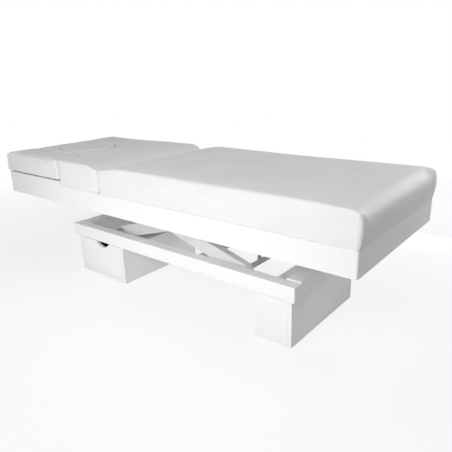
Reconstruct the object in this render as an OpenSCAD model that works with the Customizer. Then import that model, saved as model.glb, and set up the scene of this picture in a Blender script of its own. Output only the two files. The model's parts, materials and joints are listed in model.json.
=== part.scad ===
// Treatment bed on a scissor lift, standing on a drawer cabinet and a pedestal.
// X runs to the foot end, Y away from the drawer side, Z up. The origin is on the floor
// under the middle of the cushions.

/* [Bed] */
// Length over the cushions
bed_l = 2000; // [1900:10:2100]
// Width over the cushions
bed_w = 700; // [680:10:760]
// Thickness of the body cushion
cushion_t = 124; // [100:2:150]
// Distance from the bed's middle back to the joint between back and body
joint_back = 216; // [206:2:236]
// Highest tilt of the back section, in degrees
tilt_max = 60; // [30:5:60]

/* [Skirt and deck] */
// How far the cushions stand out past the skirt at the ends
end_overhang = 10; // [4:1:16]
// How far the cushions stand out past the skirt at the sides
side_overhang = 5; // [3:1:10]
// Height of the skirt boards
skirt_h = 90; // [84:2:110]
// Thickness of the skirt boards
skirt_t = 20; // [16:1:22]
// Radius on the skirt's standing corners
skirt_r = 7; // [3:1:8]
// Thickness of the deck under the body cushion
deck_t = 12; // [9:1:15]
// Thickness of the board under the back cushion
back_board_t = 18; // [15:1:21]

/* [Base] */
// How far the base stands in from the cushions' sides
base_side_in = 100; // [90:5:110]
// Distance from the bed's middle to the head end of the rails
base_head = 591; // [580:1:620]
// Distance from the bed's middle to the foot end of the rails
base_foot = 728; // [724:1:760]
// Height of the base rails
rail_h = 61; // [58:1:70]
// Thickness of the base rails
rail_t = 50; // [44:1:54]
// Width of the board across the head end of the base
head_board_w = 64; // [50:1:80]
// Width of the board across the foot end of the base
foot_board_w = 60; // [50:1:80]
// How far the foot board stands above the rails
foot_board_rise = 4.5; // [2:0.5:6]
// How far the foot board stands in from the rails' ends
foot_board_in = 2.5; // [1:0.5:5]
// Radius on the long edges of rails and boards
edge_r = 3; // [1:0.5:4]

/* [Cabinet] */
// Height of the cabinet and pedestal above their glides
cabinet_h = 183; // [170:1:200]
// Length of the cabinet along the bed
cabinet_l = 342; // [330:1:350]
// How far the rails run past the cabinet at the head end
cabinet_in = 37; // [30:1:50]
// Thickness of the cabinet and pedestal panels
panel_t = 16; // [14:1:18]
// Radius on the standing edges of the panels
panel_r = 1.2; // [0.6:0.2:2]
// Length of the pedestal along the bed
pedestal_l = 163; // [150:1:170]
// How far the rails run past the pedestal at the foot end
pedestal_in = 10; // [4:1:20]
// Height of the glides
glide_h = 4; // [3:0.5:6]
// Radius of the glides
glide_r = 18; // [12:1:22]

/* [Drawer] */
// How far the drawer comes out
drawer_travel = 350; // [250:10:370]
// Thickness of the drawer's sides
drawer_side_t = 12; // [10:1:14]
// Thickness of the drawer's floor
drawer_floor_t = 6; // [4:1:8]
// Height of the drawer's sides
drawer_side_h = 118; // [90:2:124]
// Radius of the half-moon finger cut
pull_r = 67; // [60:1:72]
// Depth of the half-moon finger cut
pull_depth = 26; // [20:1:30]
// How far the finger cut stands off the middle of the front
pull_off = 15; // [0:1:20]

/* [Scissor lift] */
// Distance from the bed's middle back to the fixed pivots
pivot_back = 347; // [340:1:354]
// Run of an arm along the bed between its end pivots, lowered
arm_run = 794; // [784:2:806]
// Rise of an arm between its end pivots, lowered
arm_rise = 228; // [222:2:232]
// Turn of an arm from the lowest to the highest position, in degrees
lift_turn = 21; // [10:1:21]
// Depth of an arm's tube
arm_depth = 60; // [50:2:64]
// Width of an arm's tube
arm_w = 30; // [24:1:32]
// Wall of an arm's tube
arm_wall = 3; // [2:0.5:4]
// Radius of the main pivot pins
pivot_r = 10; // [8:0.5:12]
// Radius of the cross tubes
cross_r = 11; // [10:1:13]
// Radius of the rollers
roller_r = 17; // [15:0.5:18]
// Width of the rollers
roller_w = 14; // [10:1:14]

/* [Actuator] */
// Distance from the bed's middle to the actuator's rear pin
rear_pin_x = 160; // [150:2:170]
// Length of the lift lever between shaft and pin
lever_l = 180; // [176:1:184]
// Slope of the lift lever, lowered, in degrees
lever_angle = 89; // [86:1:92]
// Radius of the actuator's pins
act_pin_r = 6; // [5:0.5:7]
// Radius of the actuator's outer tube
act_tube_r = 19; // [16:1:22]
// Radius of the actuator's rod
act_rod_r = 10; // [8:0.5:12]

/* [Back section] */
// Room between the prop's foot rod and the skirt's head board
prop_foot_room = 94; // [78:2:110]
// Radius of the prop's rods
prop_r = 6; // [5:0.5:7]
// Width of the cushion beside the face plug
plug_side_room = 39; // [34:1:55]
// Distance from the bed's head end to the middle of the face plug
plug_in = 252; // [240:2:260]
// How far the face hole in the board stands inside the plug
face_hole_in = 54; // [44:1:64]

/* [Armrests] */
// Width of an armrest
armrest_w = 167; // [150:1:170]
// Length of an armrest
armrest_l = 483; // [460:1:500]
// Gap under an armrest
armrest_gap = 8; // [6:1:12]
// Radius of the armrest's inner corner at the foot side
armrest_r = 60; // [40:1:70]

/* [Hidden] */

// Clearances
run_fit = 0.05;
seat_gap = 0.3;
soft_gap = 0.5;
board_gap = 1.5;
finger_room = 36;
over = 1;
near = -1;
far = 1;

// Heights, from the floor up
rail_z = glide_h + cabinet_h;
rail_top = rail_z + rail_h;
pivot_up = 28;
pivot_z = rail_z + pivot_up;
upper_z = pivot_z + arm_rise;
track_web = 4;
track_flange = 3.7;
track_h = 2 * (roller_r + seat_gap + track_flange);
track_d = 22;
thin_r = 1;
deck_z = upper_z + track_h / 2;
skirt_top = deck_z + deck_t;
skirt_z = skirt_top - skirt_h;
bed_top = skirt_top + cushion_t;

// Plan
skirt_x = bed_l / 2 - end_overhang;
skirt_y = bed_w / 2 - side_overhang;
inner_y = skirt_y - skirt_t;
rail_y = bed_w / 2 - base_side_in;
rail_in_y = rail_y - rail_t;
cabinet_x0 = -base_head + cabinet_in;
cabinet_x1 = cabinet_x0 + cabinet_l;
pedestal_x1 = base_foot - pedestal_in;
pedestal_x0 = pedestal_x1 - pedestal_l;
pivot_x = -pivot_back;
roller_x = pivot_x + arm_run;
centre_x = pivot_x + arm_run / 2;
centre_z = pivot_z + arm_rise / 2;
arm_len = sqrt(arm_run * arm_run + arm_rise * arm_rise);
arm_slope = atan2(arm_rise, arm_run);
joint_x = -joint_back;

// Layers of the lift across the bed, from the rails inwards
layer_gap = 3;
arm_gap = 10;
track_in_y = rail_in_y - track_d;
arm_b_y = track_in_y - layer_gap - arm_w;
arm_a_y = arm_b_y - arm_gap - arm_w;
roller_y = rail_in_y - track_web - seat_gap - roller_w;
axle_r = 8;
pin_head_r = 16;
pin_head_t = 4;
arm_head_r = 18;
arm_foot_r = 26;
bearing_r = 21;
bearing_l = 60;
roller_chamfer = 1.5;
arm_taper = 70;
bush_r = 16;
shaft_tube_r = 20;
tab_y = -61;
tab_w = 20;
tab_t = 6;
tab_h = 32;
track_tail = 150;
track_end_gap = 30;

// Actuator
rear_pin_up = 22;
rear_pin_z = rail_z + rear_pin_up;
eye_half_w = 9;
ear_t = 8;
ear_gap = 1;
eye_slack = 1.4;
eye_shift_along = 0.55;
eye_shift_across = -0.96;
eye_r = 15;
eye_small_r = 12;
lever_r = 18;
pin_cap = 3;
lever_tip_x = pivot_x + lever_l * cos(lever_angle);
lever_tip_z = pivot_z + lever_l * sin(lever_angle);
act_dx = lever_tip_x - rear_pin_x;
act_dz = lever_tip_z - rear_pin_z;
act_len = sqrt(act_dx * act_dx + act_dz * act_dz);
act_slope = atan2(act_dz, act_dx);
beam_w = 50;
beam_t = 7;
beam_in = 15;
gear_l = 84;
gear_w = 56;
gear_h = 64;
gear_r = 8;
gear_gap = 8;
gear_up_share = 0.62;
motor_gap = 6;
motor_r = 24;
motor_l = 96;
act_tube_l = 270;

// Back section
hinge_r = 6;
boss_r = 11.5;
hinge_drop = 12;
hinge_z = skirt_top - hinge_drop;
board_setback = 54;
frame_gap = 20;
frame_bar_t = 11;
deck_gap = 4;
block_gap = 4;
block_short = 5;
back_z = skirt_top + seat_gap;
board_top = back_z + back_board_t;
prop_reach = (skirt_x - skirt_t - prop_foot_room - joint_back) / 2;
prop_pivot_x = joint_x - prop_reach;
prop_foot_x = joint_x - 2 * prop_reach;

// Prop leg, ratchet rail and frame bar share the room between the tracks and the skirt
side_room = inner_y - rail_in_y;
leg_y_share = 0.048;
leg_w_share = 0.096;
ratchet_y_share = 0.176;
ratchet_w_share = 0.16;
bar_w_share = 0.2;
bar_y_share = 0.64;
leg_y = rail_in_y + side_room * leg_y_share;
leg_w = side_room * leg_w_share;
ratchet_y = rail_in_y + side_room * ratchet_y_share;
ratchet_w = side_room * ratchet_w_share;
bar_w = side_room * bar_w_share;
bar_y1 = rail_in_y + side_room * bar_y_share;
member_h = 30;
member_w = 30;
member_head_share = 5 / 6;
member_pivot_gap = 83;
member_roller_gap = 97;
member_end_gap = 90;
cover_in = 12;

// Armrests
armrest_z = board_top + armrest_gap;
armrest_y0 = bed_w / 2 - armrest_w;
plug_x = -bed_l / 2 + plug_in;
plug_r = armrest_y0 - plug_side_room;
face_hole_r = plug_r - face_hole_in;
armrest_x1 = -bed_l / 2 + armrest_l;
armrest_board_t = 9;
board_x1 = armrest_x1 + skirt_r;
peg_r = 5;
peg_fit = 0.3;
spacer_r = 15;

// Cushion shape: how far each level stands in, and its share of the height
rim_in = [9, 2, 0, 0, 2.5, 8, 16];
rim_share = [0, 0.1, 0.3, 0.62, 0.86, 0.95, 0.985];
crown_scale_share = [0.95, 0.88, 0.72, 0.4];
crown_height_share = [0.991, 0.995, 0.998, 1];
drawn_in = 4;
notch_reach = 75;
notch_drop = 20;
joint_r = 14;
foot_r = 14;
neck_r = 20;
shoulder_r = 16;
pad_head_r = 16;
pad_r = 18;
back_mid_off = 50;
plug_points = 40;
corner_steps = 4;
edge_steps = 5;

function joint_pull(x, at) = max(0, 1 - abs(x - at) / notch_reach);

// Points and outward normals round a right-angled corner b between a and c
function corner(a, b, c, r) =
    let (u = (a - b) / norm(a - b), v = (c - b) / norm(c - b))
    let (turn = cross(b - a, c - b) > 0 ? 1 : -1, m = b + (u + v) * r)
    [for (i = [0:corner_steps])
        let (t = 90 * i / corner_steps, w = v * cos(t) + u * sin(t))
        [m - r * w, -turn * w]];

// Points along a side, drawn in towards the middle
function side(p, q) =
    [for (i = [1:edge_steps])
        let (t = i / (edge_steps + 1), pull = drawn_in * 4 * t * (1 - t))
        [p[0] + (q[0] - p[0]) * t - p[1] * pull, p[1]]];

// A closed outline from corners given as [x, y, radius], anticlockwise
function outline(c) =
    let (n = len(c))
    let (arcs = [for (i = [0:n - 1])
        let (a = c[(i + n - 1) % n], b = c[i], d = c[(i + 1) % n])
        corner([a[0], a[1]], [b[0], b[1]], [d[0], d[1]], b[2])])
    [for (i = [0:n - 1])
        let (next = arcs[(i + 1) % n])
        each concat(arcs[i], side(arcs[i][corner_steps], next[0]))];

function disc_outline(x, y, r, n) =
    [for (i = [0:n - 1])
        let (w = [cos(360 * i / n), sin(360 * i / n)])
        [[x, y] + r * w, w]];

// One cushion: a rim of levels, a crown that closes on one point, and a flat underside
module cushion_form(ring, mid, z, h, notch_x) {
    n = len(ring);
    rims = len(rim_in);
    levels = rims + len(crown_scale_share);
    function soft(p, share) = notch_drop * joint_pull(p[0], notch_x) * max(0, share - 0.5) * 2;
    function rim(i, k) =
        let (p = ring[i][0] - ring[i][1] * rim_in[k] * (1 + joint_pull(ring[i][0][0], notch_x)))
        [p[0], p[1], z + h * rim_share[k] - soft(p, rim_share[k])];
    function crown(i, k) =
        let (b = rim(i, rims - 1), p = mid + ([b[0], b[1]] - mid) * crown_scale_share[k])
        [p[0], p[1], z + h * crown_height_share[k] - soft(p, 1)];
    points = concat(
        [for (k = [0:rims - 1]) each [for (i = [0:n - 1]) rim(i, k)]],
        [for (k = [0:levels - rims - 1]) each [for (i = [0:n - 1]) crown(i, k)]],
        [[mid[0], mid[1], z], [mid[0], mid[1], z + h]]);
    under = levels * n;
    top = under + 1;
    faces = concat(
        [for (k = [0:levels - 2]) each [for (i = [0:n - 1])
            let (j = (i + 1) % n, a = k * n + i, b = k * n + j)
            each [[a, a + n, b + n], [a, b + n, b]]]],
        [for (i = [0:n - 1]) [under, i, (i + 1) % n]],
        [for (i = [0:n - 1])
            let (last = (levels - 1) * n)
            [top, last + (i + 1) % n, last + i]]);
    polyhedron(points, faces);
}

// A box between two corners
module block(a, b) {
    translate(a) cube(b - a);
}

// A rectangle with round corners, from the origin
module round_rect(w, h, r) {
    translate([r, 0]) square([w - 2 * r, h]);
    translate([0, r]) square([w, h - 2 * r]);
    for (x = [r, w - r], y = [r, h - r]) translate([x, y]) circle(r, $fn = 32);
}

// A board along X with round long edges
module board_x(a, b, r) {
    translate([a[0], a[1], a[2]])
        rotate([90, 0, 90])
        linear_extrude(b[0] - a[0])
        round_rect(b[1] - a[1], b[2] - a[2], r);
}

// A board along Y with round long edges
module board_y(a, b, r) {
    translate([a[0], b[1], a[2]])
        rotate([90, 0, 0])
        linear_extrude(b[1] - a[1])
        round_rect(b[0] - a[0], b[2] - a[2], r);
}

// A standing panel with round standing edges
module panel(a, b) {
    translate(a) linear_extrude(b[2] - a[2])
        round_rect(b[0] - a[0], b[1] - a[1], panel_r);
}

// A round bar along Y between two places
module bar_y(x, z, r, y0, y1) {
    translate([x, y1, z]) rotate([90, 0, 0]) cylinder(r = r, h = y1 - y0, $fn = 48);
}

// The same on both sides of the bed
module both_sides() {
    children();
    mirror([0, 1, 0]) children();
}

// What is drawn for the far side, drawn for the side asked for
module on_side(s) {
    if (s > 0) children();
    else mirror([0, 1, 0]) children();
}

module base_rail(s) {
    color("whitesmoke") on_side(s)
        board_x([-base_head, rail_in_y, rail_z], [base_foot, rail_y, rail_top], edge_r);
}

module base_board_head() {
    color("gainsboro")
        board_y([-base_head, -rail_in_y, rail_z],
            [-base_head + head_board_w, rail_in_y, rail_top], edge_r);
}

module base_board_foot() {
    color("gainsboro")
        board_y([base_foot - foot_board_in - foot_board_w, -rail_in_y, rail_z],
            [base_foot - foot_board_in, rail_in_y, rail_top + foot_board_rise], edge_r);
}

module cabinet_side(x) {
    color("whitesmoke") panel([x, -rail_y, glide_h], [x + panel_t, rail_y, rail_z]);
}

module cabinet_top() {
    color("whitesmoke")
        block([cabinet_x0 + panel_t, -rail_y + panel_t + finger_room, rail_z - panel_t],
            [cabinet_x1 - panel_t, rail_y, rail_z]);
}

module cabinet_floor() {
    color("whitesmoke")
        block([cabinet_x0 + panel_t, -rail_y, glide_h],
            [cabinet_x1 - panel_t, rail_y, glide_h + panel_t]);
}

module cabinet_back() {
    color("whitesmoke")
        block([cabinet_x0 + panel_t, rail_y - panel_t, glide_h + panel_t],
            [cabinet_x1 - panel_t, rail_y, rail_z - panel_t]);
}

// Telescopic runners: a fixed channel on the cabinet and a moving rail on the drawer
runner_h = 36;
runner_t = 9;
runner_wall = 2;
slide_t = 5;
slide_h = 22;
runner_z = 72;
slide_x0 = cabinet_x0 + panel_t + runner_t + seat_gap - slide_t;
drawer_x0 = cabinet_x0 + panel_t + runner_t + seat_gap;
drawer_x1 = cabinet_x1 - panel_t - runner_t - seat_gap;
drawer_y0 = -rail_y + panel_t;
drawer_back_room = 54;
drawer_lift = 8;
drawer_y1 = rail_y - panel_t - drawer_back_room;
drawer_z = glide_h + panel_t + drawer_lift;

module drawer_runners() {
    color("silver")
        for (s = [0, 1])
            translate([cabinet_x0 + cabinet_x1, 0, 0] * s) mirror([s, 0, 0])
                difference() {
                    x = cabinet_x0 + panel_t;
                    block([x, drawer_y0 + 2 * board_gap, runner_z],
                        [x + runner_t, drawer_y1, runner_z + runner_h]);
                    block([x + runner_wall, drawer_y0, runner_z + runner_wall],
                        [x + runner_t + over, drawer_y1 + over, runner_z + runner_h - runner_wall]);
                }
}

module drawer_slides() {
    color("silver")
        for (s = [0, 1])
            translate([cabinet_x0 + cabinet_x1, 0, 0] * s) mirror([s, 0, 0])
                board_y([slide_x0, drawer_y0 + 2 * board_gap, runner_z + (runner_h - slide_h) / 2],
                    [drawer_x0, drawer_y1, runner_z + (runner_h + slide_h) / 2], thin_r);
}

module drawer_front() {
    x0 = cabinet_x0 + panel_t + board_gap;
    x1 = cabinet_x1 - panel_t - board_gap;
    top = rail_z - board_gap;
    color("white") difference() {
        panel([x0, -rail_y, glide_h + panel_t + board_gap], [x1, drawer_y0, top]);
        bar_y((x0 + x1) / 2 + pull_off, top + pull_r - pull_depth, pull_r,
            -rail_y - over, drawer_y0 + over);
    }
}

module drawer_box() {
    color("linen") difference() {
        block([drawer_x0, drawer_y0, drawer_z], [drawer_x1, drawer_y1, drawer_z + drawer_side_h]);
        block([drawer_x0 + drawer_side_t, drawer_y0 + drawer_side_t, drawer_z + drawer_floor_t],
            [drawer_x1 - drawer_side_t, drawer_y1 - drawer_side_t,
            drawer_z + drawer_side_h + over]);
    }
}

module pedestal_panel(x) {
    color("whitesmoke") panel([x, -rail_y, glide_h], [x + panel_t, rail_y, rail_z]);
}

module pedestal_side_panels() {
    color("whitesmoke") both_sides()
        block([pedestal_x0 + panel_t, rail_y - panel_t, glide_h],
            [pedestal_x1 - panel_t, rail_y, rail_z]);
}

module pedestal_top() {
    color("whitesmoke")
        block([pedestal_x0 + panel_t, -rail_y + panel_t, rail_z - panel_t],
            [pedestal_x1 - panel_t, rail_y - panel_t, rail_z]);
}

module floor_glides() {
    in = glide_r + panel_t / 4;
    color("dimgray")
        for (x = [cabinet_x0 + in, cabinet_x1 - in, pedestal_x0 + in, pedestal_x1 - in],
            y = [-rail_y + in, rail_y - in])
            translate([x, y, 0]) {
                cylinder(r1 = glide_r - glide_h / 4, r2 = glide_r, h = glide_h / 4, $fn = 48);
                translate([0, 0, glide_h / 4]) cylinder(r = glide_r, h = glide_h * 3 / 4, $fn = 48);
            }
}

// A channel open towards the middle of the bed, for the rollers
module track(x0, x1, z) {
    difference() {
        board_x([x0, track_in_y, z - track_h / 2], [x1, rail_in_y, z + track_h / 2], thin_r);
        block([x0 - over, track_in_y - over, z - roller_r - seat_gap],
            [x1 + over, rail_in_y - track_web, z + roller_r + seat_gap]);
    }
}

// Reach of the rollers along their tracks, over the lift's turn
roller_back_x = pivot_x + arm_len * cos(arm_slope + lift_turn);
track_over = 26;

module lower_track(s) {
    color("lightgray") on_side(s)
        track(roller_back_x - roller_r - track_over, roller_x + roller_r + track_over, pivot_z);
}

upper_track_x0 = pivot_x - track_tail;
upper_track_x1 = skirt_x - skirt_t - track_end_gap;

module upper_track(s) {
    color("lightgray") on_side(s) track(upper_track_x0, upper_track_x1, upper_z);
}

module shaft_bearings() {
    color("gray") both_sides() difference() {
        union() {
            block([pivot_x - bearing_l / 2, arm_b_y, rail_z],
                [pivot_x + bearing_l / 2, arm_b_y + arm_w, pivot_z]);
            bar_y(pivot_x, pivot_z, bearing_r, arm_b_y, arm_b_y + arm_w);
        }
        bar_y(pivot_x, pivot_z, pivot_r + run_fit, arm_b_y - over, arm_b_y + arm_w + over);
    }
}

module upper_bearings() {
    h = roller_r + seat_gap;
    color("gray") both_sides() difference() {
        block([pivot_x - bearing_l / 2, track_in_y, upper_z - h],
            [pivot_x + bearing_l / 2, rail_in_y - track_web, upper_z + h]);
        bar_y(pivot_x, upper_z, pivot_r + run_fit, track_in_y - over, rail_in_y);
    }
}

module actuator_beam() {
    color("lightgray") {
        block([rear_pin_x - beam_w / 2, beam_in - rail_y, rail_z - beam_t],
            [rear_pin_x + beam_w / 2, rail_y - beam_in, rail_z]);
        both_sides() difference() {
            union() {
                block([rear_pin_x - eye_r, eye_half_w + ear_gap, rail_z],
                    [rear_pin_x + eye_r, eye_half_w + ear_gap + ear_t, rear_pin_z]);
                bar_y(rear_pin_x, rear_pin_z, eye_r, eye_half_w + ear_gap,
                    eye_half_w + ear_gap + ear_t);
            }
            bar_y(rear_pin_x, rear_pin_z, act_pin_r + run_fit, eye_half_w,
                eye_half_w + 2 * ear_gap + ear_t);
        }
    }
}

module pin_with_heads(x, z) {
    reach = eye_half_w + ear_gap + ear_t + seat_gap;
    bar_y(x, z, act_pin_r, -reach, reach);
    both_sides() bar_y(x, z, act_pin_r + pin_cap, reach, reach + pin_cap);
}

module rear_pin() {
    color("gray") pin_with_heads(rear_pin_x, rear_pin_z);
}

module lever_pin() {
    color("gray") pin_with_heads(lever_tip_x, lever_tip_z);
}

box_l = 40;
box_w = 180;
box_h = 86;
box_z = 54;
box_y = -190;
inlet_y = -66;
inlet_w = 28;
inlet_h = 20;
inlet_depth = 16;

module control_box() {
    color("silver") difference() {
        board_y([pedestal_x0 - box_l, box_y, box_z],
            [pedestal_x0, box_y + box_w, box_z + box_h], edge_r);
        translate([pedestal_x0 - (box_l + inlet_h) / 2, inlet_y, box_z - over])
            cube([inlet_h, inlet_w, inlet_depth + over]);
    }
}

// What is drawn in X and Z, as a plate between two places across the bed
module plate_y(y0, y1) {
    translate([0, y1, 0]) rotate([90, 0, 0]) linear_extrude(y1 - y0) children();
}

// An arm along X: a folded channel, open to the middle of the bed, tapered to its end eyes,
// with a bush at its middle. The eyes' radii are given from the arm's head side to its foot side.
module arm(eyes, y) {
    reach = arm_len / 2;
    body = reach - arm_taper;
    half = arm_depth / 2;
    holes = [[-reach, pivot_r], [0, pivot_r], [reach, axle_r]];
    difference() {
        union() {
            difference() {
                plate_y(y, y + arm_w) {
                    polygon([[-reach, -eyes[0]], [-body, -half], [body, -half],
                        [reach, -eyes[1]], [reach, eyes[1]], [body, half], [-body, half],
                        [-reach, eyes[0]]]);
                    translate([-reach, 0]) circle(eyes[0], $fn = 64);
                    translate([reach, 0]) circle(eyes[1], $fn = 64);
                }
                block([-body, y - over, -half + arm_wall], [body, y + arm_w - arm_wall,
                    half - arm_wall]);
            }
            bar_y(0, 0, bush_r, y, y + arm_w);
        }
        for (h = holes) bar_y(h[0], 0, h[1] + run_fit, y - over, y + arm_w + over);
    }
}

module arm_a(s) {
    color("lightgray") on_side(s) translate([centre_x, 0, centre_z]) rotate([0, -arm_slope, 0])
        arm([arm_foot_r, arm_head_r], arm_a_y);
}

module arm_b(s) {
    color("lightgray") on_side(s) translate([centre_x, 0, centre_z]) rotate([0, arm_slope, 0])
        arm([arm_head_r, arm_depth / 2], arm_b_y);
}

// The shaft that the A arms turn on, its thick middle and the twin lever on it
module lift_shaft() {
    color("gray") {
        bar_y(pivot_x, pivot_z, pivot_r, -arm_b_y - arm_w, arm_b_y + arm_w);
        bar_y(pivot_x, pivot_z, shaft_tube_r, -arm_a_y, arm_a_y);
        translate([pivot_x, 0, pivot_z]) rotate([0, -lever_angle, 0]) both_sides()
            difference() {
                union() {
                    translate([0, eye_half_w + ear_gap, -lever_r])
                        cube([lever_l, ear_t, 2 * lever_r]);
                    bar_y(lever_l, 0, lever_r, eye_half_w + ear_gap,
                        eye_half_w + ear_gap + ear_t);
                }
                bar_y(lever_l, 0, act_pin_r + run_fit, eye_half_w, eye_half_w + 2 * ear_gap + ear_t);
            }
    }
}

module upper_axle() {
    color("gray") {
        bar_y(roller_x, upper_z, axle_r, -roller_y - roller_w, roller_y + roller_w);
        bar_y(roller_x, upper_z, cross_r, -arm_a_y, arm_a_y);
    }
}

module lower_axle() {
    color("dimgray") {
        bar_y(roller_x, pivot_z, axle_r, -roller_y - roller_w, roller_y + roller_w);
        bar_y(roller_x, pivot_z, cross_r, -arm_b_y, arm_b_y);
        translate([roller_x - tab_t / 2, tab_y - tab_w / 2, pivot_z]) cube([tab_t, tab_w, tab_h]);
    }
}

// The pins in the middle of the arms, and the pins at the upper ends of the B arms
module arm_pins() {
    inner = seat_gap + pin_head_t;
    color("gray") both_sides() {
        bar_y(centre_x, centre_z, pivot_r, arm_a_y - inner, arm_b_y + arm_w + layer_gap);
        bar_y(centre_x, centre_z, pin_head_r, arm_a_y - inner, arm_a_y - seat_gap);
        bar_y(centre_x, centre_z, pin_head_r, arm_a_y + arm_w + seat_gap, arm_b_y - seat_gap);
        bar_y(centre_x, centre_z, pin_head_r, arm_b_y + arm_w + seat_gap,
            arm_b_y + arm_w + layer_gap);
        bar_y(pivot_x, upper_z, pivot_r, arm_b_y - inner, rail_in_y - track_web - seat_gap);
        bar_y(pivot_x, upper_z, pin_head_r, arm_b_y - inner, arm_b_y - seat_gap);
    }
}

module roller(z, s) {
    rim = roller_r - roller_chamfer;
    color("dimgray") on_side(s) difference() {
        translate([roller_x, roller_y + roller_w, z]) rotate([90, 0, 0])
            rotate_extrude($fn = 64)
            polygon([[0, 0], [rim, 0], [roller_r, roller_chamfer],
                [roller_r, roller_w - roller_chamfer], [rim, roller_w], [0, roller_w]]);
        bar_y(roller_x, z, axle_r + run_fit, roller_y - over, roller_y + roller_w + over);
    }
}

// Actuator, drawn along X from its rear pin and turned to the lever's pin
module along_actuator() {
    translate([rear_pin_x, 0, rear_pin_z]) rotate([0, -act_slope, 0]) children();
}

module along_x(x0, x1, r) {
    translate([x0, 0, 0]) rotate([0, 90, 0]) cylinder(r = r, h = x1 - x0, $fn = 48);
}

module actuator_body() {
    color("silver") along_actuator() difference() {
        union() {
            block([0, -eye_half_w, -eye_small_r], [gear_l / 2, eye_half_w, eye_small_r]);
            bar_y(0, 0, eye_small_r, -eye_half_w, eye_half_w);
            translate([eye_r + gear_gap, -gear_w / 2, gear_h * (gear_up_share - 1)])
                rotate([90, 0, 90]) linear_extrude(gear_l) round_rect(gear_w, gear_h, gear_r);
            along_x(gear_l, gear_l + act_tube_l, act_tube_r);
            translate([0, 0, act_tube_r + motor_gap + motor_r])
                along_x(gear_l, gear_l + motor_l, motor_r);
        }
        bar_y(0, 0, act_pin_r + run_fit, -eye_half_w - over, eye_half_w + over);
        along_x(gear_l + eye_r, gear_l + act_tube_l + over, act_rod_r + run_fit);
    }
}

module actuator_rod() {
    x1 = act_len + eye_shift_along;
    color("gainsboro") along_actuator() difference() {
        union() {
            along_x(act_len - act_tube_l + gear_l, x1 - eye_r / 2, act_rod_r);
            bar_y(x1, eye_shift_across, eye_r, -eye_half_w, eye_half_w);
        }
        bar_y(x1, eye_shift_across, act_pin_r + eye_slack, -eye_half_w - over,
            eye_half_w + over);
    }
}

member_x = [-skirt_x * member_head_share, pivot_x - member_pivot_gap,
    roller_x + member_roller_gap, skirt_x - member_end_gap];

module cross_members() {
    z = deck_z - track_h;
    color("lightgray") for (x = member_x)
        difference() {
            board_y([x - member_w / 2, -inner_y, z - member_h], [x + member_w / 2, inner_y, z],
                edge_r);
            block([x - member_w / 2 + arm_wall, -inner_y - over, z - member_h + arm_wall],
                [x + member_w / 2 - arm_wall, inner_y + over, z - arm_wall]);
        }
}

module skirt_side(s) {
    color("whitesmoke") on_side(s)
        translate([-skirt_x, inner_y - skirt_t, skirt_z]) linear_extrude(skirt_h)
        intersection() {
            round_rect(2 * skirt_x, 2 * skirt_t, skirt_r);
            translate([0, skirt_t]) square([2 * skirt_x, skirt_t]);
        }
}

module skirt_end(x) {
    color("whitesmoke") block([x, -inner_y, skirt_z], [x + skirt_t, inner_y, skirt_top]);
}

module deck() {
    color("burlywood")
        block([joint_x + boss_r + deck_gap, -inner_y, deck_z], [skirt_x - skirt_t, inner_y, skirt_top]);
}

block_l = 40;
block_drop = 18;

module hinge_blocks() {
    y0 = bar_y1 + block_gap;
    color("gray") both_sides() difference() {
        block([joint_x - block_l / 2, y0, hinge_z - block_drop],
            [joint_x + block_l / 2 - block_short, inner_y, skirt_top]);
        bar_y(joint_x, hinge_z, hinge_r + run_fit, y0 - over, inner_y + over);
    }
}

notch_turns = [0, 12, 24, 36, 48, 60];

module ratchet_rails() {
    z1 = hinge_z - prop_r - seat_gap;
    color("lightgray") both_sides() difference() {
        block([prop_foot_x - 3 * prop_r, ratchet_y, deck_z - track_h],
            [joint_x - prop_reach + 3 * prop_r, ratchet_y + ratchet_w, z1]);
        for (a = notch_turns)
            bar_y(joint_x - 2 * prop_reach * cos(a), z1 + prop_r / 2, prop_r + seat_gap,
                ratchet_y - over, ratchet_y + ratchet_w + over);
    }
}

module body_cushion() {
    x0 = joint_x + soft_gap;
    x1 = bed_l / 2;
    y = bed_w / 2;
    color("white") cushion_form(
        outline([[x0, -y, joint_r], [x1, -y, foot_r], [x1, y, foot_r], [x0, y, joint_r]]),
        [(x0 + x1) / 2, 0], skirt_top, cushion_t, joint_x);
}

module back_frame() {
    x0 = -skirt_x + skirt_t + frame_gap;
    bar_z = hinge_z - boss_r;
    flat_z = back_z - frame_bar_t;
    color("lightgray") difference() {
        union() {
            both_sides() {
                board_x([x0, bar_y1 - bar_w, bar_z], [joint_x - 2 * boss_r, bar_y1, back_z], thin_r);
                block([joint_x - 2 * boss_r - over, bar_y1 - bar_w, bar_z],
                    [joint_x, bar_y1, hinge_z + boss_r]);
                bar_y(joint_x, hinge_z, boss_r, bar_y1 - bar_w, bar_y1);
                bar_y(joint_x, hinge_z, hinge_r, bar_y1 - over, inner_y - seat_gap);
            }
            for (x = [x0, joint_x - board_setback - 2 * bar_w])
                block([x, -bar_y1 + bar_w - over, flat_z],
                    [x + bar_w, bar_y1 - bar_w + over, back_z]);
        }
        both_sides() bar_y(prop_pivot_x, hinge_z, prop_r + run_fit, bar_y1 - bar_w - over,
            bar_y1 + over);
    }
}

module back_board() {
    color("whitesmoke") difference() {
        translate([-skirt_x, -skirt_y, back_z]) linear_extrude(back_board_t) intersection() {
            round_rect(2 * skirt_x, 2 * skirt_y, skirt_r);
            square([board_x1 + skirt_x - seat_gap, 2 * skirt_y]);
        }
        translate([plug_x, 0, back_z - over])
            cylinder(r = face_hole_r, h = back_board_t + 2 * over, $fn = 96);
        both_sides() for (x = peg_x)
            translate([x, peg_y, back_z - over])
                cylinder(r = peg_r + peg_fit, h = back_board_t + 2 * over, $fn = 32);
    }
}

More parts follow.
